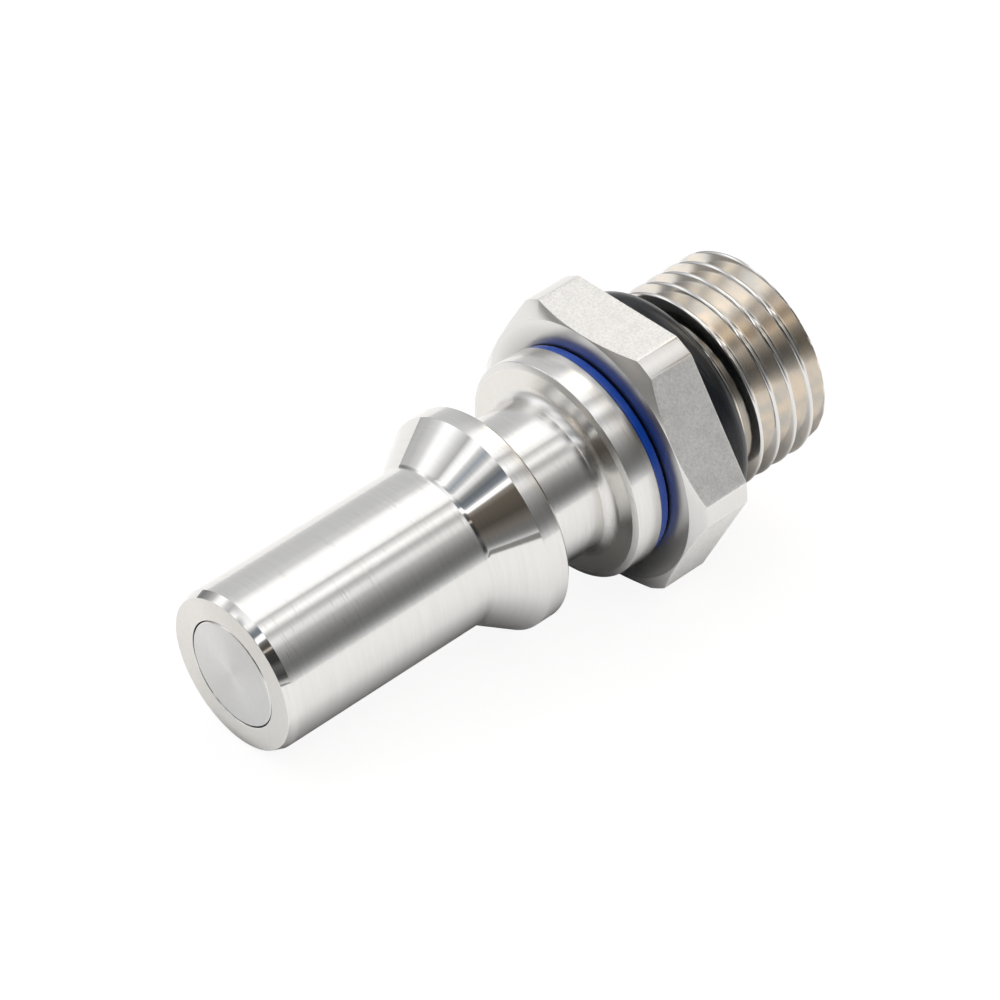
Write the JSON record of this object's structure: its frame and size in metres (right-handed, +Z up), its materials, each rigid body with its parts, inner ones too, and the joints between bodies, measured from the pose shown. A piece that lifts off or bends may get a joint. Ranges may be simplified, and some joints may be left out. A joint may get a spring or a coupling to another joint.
{
  "type": "liquid cooling quick coupling",
  "caption": "Plug half of a flush-face liquid cooling quick coupling: smooth nose with sprung valve, locking groove, coloured ring, hexagon and sealed male port thread.",
  "frame": {"origin": "centre of the mating face, where the coupling axis meets the flush valve face", "axes": "+X along the coupling axis from the mating face to the end of the port thread; +Z up, square to one flat of the hexagon, which faces straight down"},
  "size_m": [0.0401, 0.0188, 0.017],
  "materials": {
    "turned_steel": "fine turned stainless steel",
    "hex_bar_steel": "stainless bar, matte flats, turned thread",
    "valve_steel": "matte stainless steel",
    "spring_steel": "drawn wire",
    "blue_plastic": "glossy royal blue",
    "black_rubber": "satin black"
  },
  "bodies": {
    "plug": {"plug_body": "turned_steel", "port_adapter": "hex_bar_steel", "colour_ring": "blue_plastic", "body_seal": "black_rubber", "port_seal": "black_rubber", "valve_guide": "valve_steel", "valve_spring": "spring_steel"},
    "valve": {"poppet": "valve_steel", "poppet_seal": "black_rubber"}
  },
  "joints": [
    {"name": "poppet_slide", "type": "slide", "parent": "plug", "child": "valve", "axis": [1, 0, 0], "range_m": [0, 0.0055], "stiffness_N_per_m": 1100, "springref_m": -0.006, "deforming": ["valve_spring"]}
  ]
}
